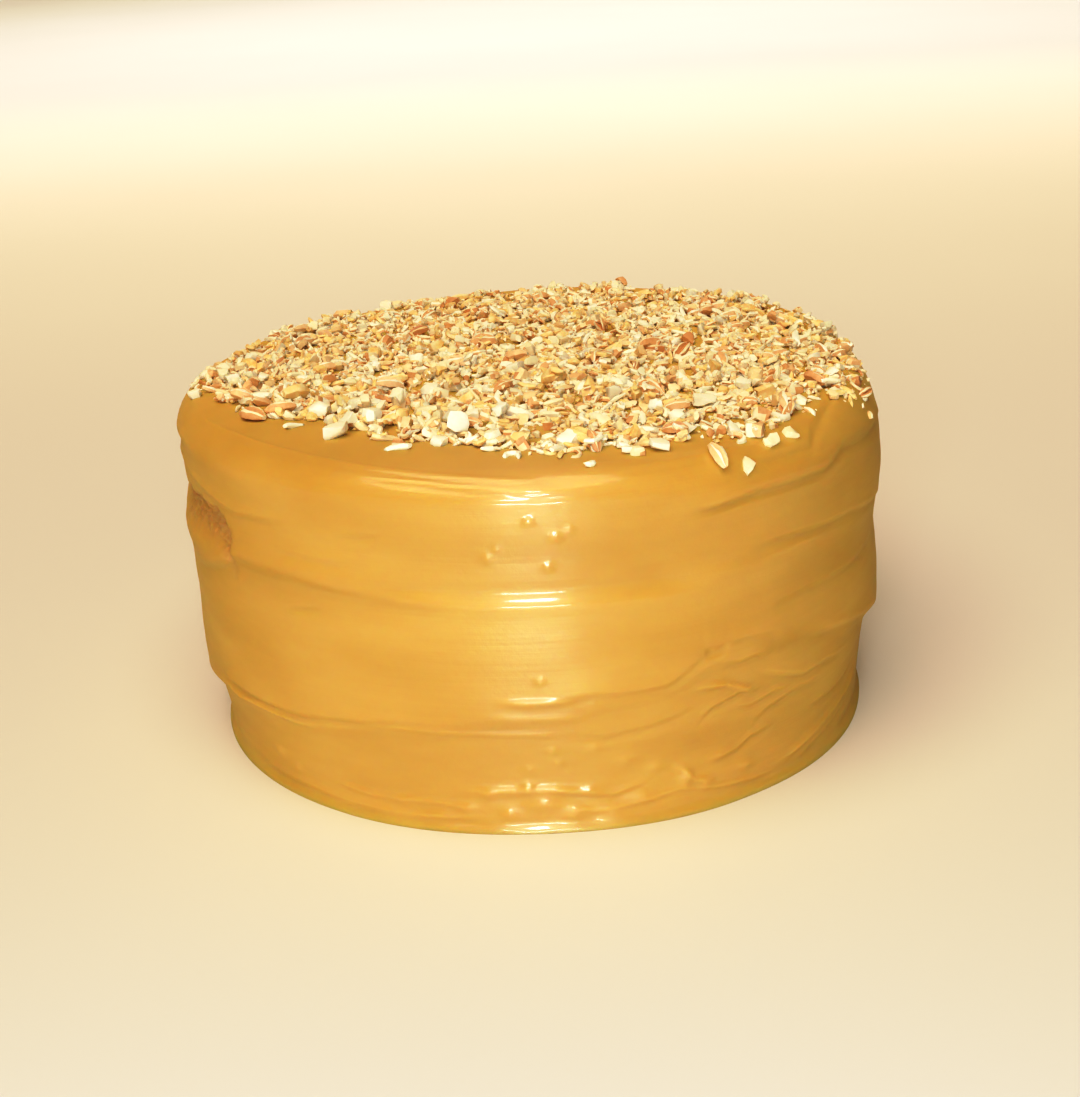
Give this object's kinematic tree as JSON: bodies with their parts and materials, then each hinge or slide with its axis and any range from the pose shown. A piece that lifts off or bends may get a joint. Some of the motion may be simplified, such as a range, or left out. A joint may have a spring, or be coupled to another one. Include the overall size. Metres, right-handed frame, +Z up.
{
  "type": "caramel cake",
  "caption": "Tall round layer cake iced all over in smooth caramel, uncut, with chopped pecans pressed into its top.",
  "frame": {"origin": "centre of the cake's flat base, on the surface that it stands on", "axes": "+Z up through the middle of the cake; -Y is its front, where the icing shows bare between the nuts and the rim; the broad sloping shoulder is at +X"},
  "size_m": [0.2187, 0.2195, 0.1165],
  "materials": {
    "caramel_icing": "cooked caramel icing, spread with a knife, soft gloss",
    "chopped_pecan": "broken nut flesh, cream, with brown skin"
  },
  "bodies": {
    "root": {"caramel_cake": "caramel_icing"}
  },
  "joints": []
}
